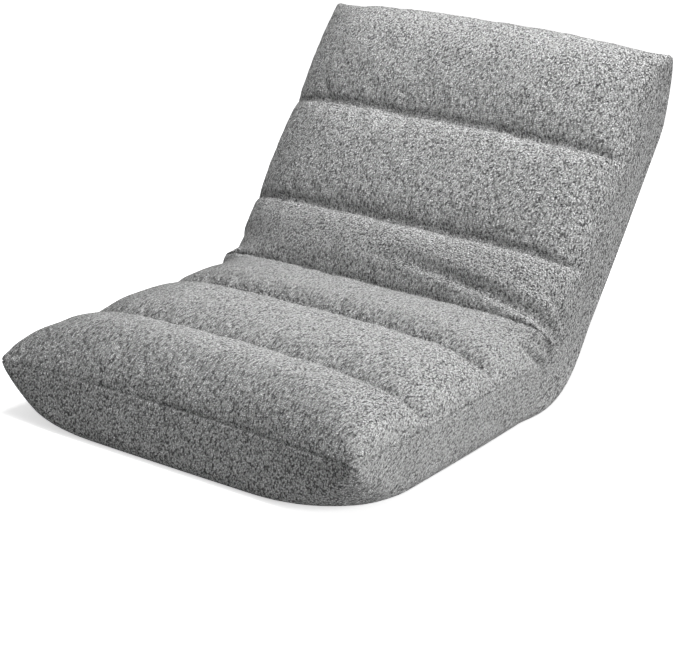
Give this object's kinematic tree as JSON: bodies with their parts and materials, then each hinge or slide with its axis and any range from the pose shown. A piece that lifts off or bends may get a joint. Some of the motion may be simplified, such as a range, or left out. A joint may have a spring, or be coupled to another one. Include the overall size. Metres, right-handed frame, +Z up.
{
  "type": "folding floor chair",
  "caption": "Legless folding floor chair: quilted fleece seat and back over a tube frame, joined by ratchet hinges that hold the back at stepped angles or flat.",
  "frame": {"origin": "on the floor, at the middle of the seat's underside", "axes": "+X to the sitter's left, which is the right of the picture; -Y towards the front edge of the seat, +Y towards the back; +Z up"},
  "size_m": [0.55, 0.7708, 0.4341],
  "materials": {
    "cover_fleece": "nubby boucle fleece, matt",
    "channel_padding": "soft white fibre and foam filling",
    "base_foam": "cut polyurethane foam",
    "webbing": "woven elastic band",
    "frame_tube": "black powder coat",
    "hinge_plate": "zinc-plated stamping",
    "rivet_steel": "plain steel, riveted ends",
    "spring_steel": "blued spring strip"
  },
  "bodies": {
    "seat": {"cheek_pins": "rivet_steel", "fold_base_cover": "cover_fleece", "fold_base_foam": "base_foam", "hinge_cheek_inner_left": "hinge_plate", "hinge_cheek_inner_right": "hinge_plate", "hinge_cheek_outer_left": "hinge_plate", "hinge_cheek_outer_right": "hinge_plate", "pawl_pins": "rivet_steel", "pawl_spring_left": "spring_steel", "pawl_spring_right": "spring_steel", "pivot_rivets": "rivet_steel", "rear_channel_cover": "cover_fleece", "seat_arm_left": "hinge_plate", "seat_arm_right": "hinge_plate", "seat_base_cover": "cover_fleece", "seat_base_foam": "base_foam", "seat_cross_tube_1": "frame_tube", "seat_cross_tube_2": "frame_tube", "seat_pad_front": "channel_padding", "seat_pad_middle": "channel_padding", "seat_pad_rear": "channel_padding", "seat_side_tube_left": "frame_tube", "seat_side_tube_right": "frame_tube", "seat_top_cover": "cover_fleece", "seat_webbing_1": "webbing", "seat_webbing_2": "webbing", "seat_webbing_3": "webbing"},
    "back": {"back_base_cover": "cover_fleece", "back_base_foam": "base_foam", "back_cross_tube_1": "frame_tube", "back_cross_tube_2": "frame_tube", "back_pad_head": "channel_padding", "back_pad_lumbar": "channel_padding", "back_pad_upper": "channel_padding", "back_side_tube_left": "frame_tube", "back_side_tube_right": "frame_tube", "back_top_cover": "cover_fleece", "back_webbing_1": "webbing", "back_webbing_2": "webbing", "back_webbing_3": "webbing", "lumbar_channel_cover": "cover_fleece", "ratchet_arm_left": "hinge_plate", "ratchet_arm_right": "hinge_plate"},
    "pawl_left": {"pawl_left": "hinge_plate"},
    "pawl_right": {"pawl_right": "hinge_plate"}
  },
  "joints": [
    {"name": "back_fold", "type": "hinge", "parent": "seat", "child": "back", "pos_m": [0, 0.23, 0.074], "axis": [1, 0, 0], "range_deg": [-53.2, 68.4], "deforming": ["rear_channel_cover", "lumbar_channel_cover", "seat_pad_rear", "back_pad_lumbar", "fold_base_cover", "fold_base_foam"]},
    {"name": "pawl_left_lift", "type": "hinge", "parent": "seat", "child": "pawl_left", "pos_m": [-0.215, 0.203, 0.093], "axis": [-1, 0, 0], "range_deg": [0, 10], "stiffness_Nm_per_rad": 0.05, "springref_deg": -8.59, "deforming": ["pawl_spring_left"]},
    {"name": "pawl_right_lift", "type": "hinge", "parent": "seat", "child": "pawl_right", "pos_m": [0.215, 0.203, 0.093], "axis": [-1, 0, 0], "range_deg": [0, 10], "stiffness_Nm_per_rad": 0.05, "springref_deg": -8.59, "deforming": ["pawl_spring_right"]}
  ]
}
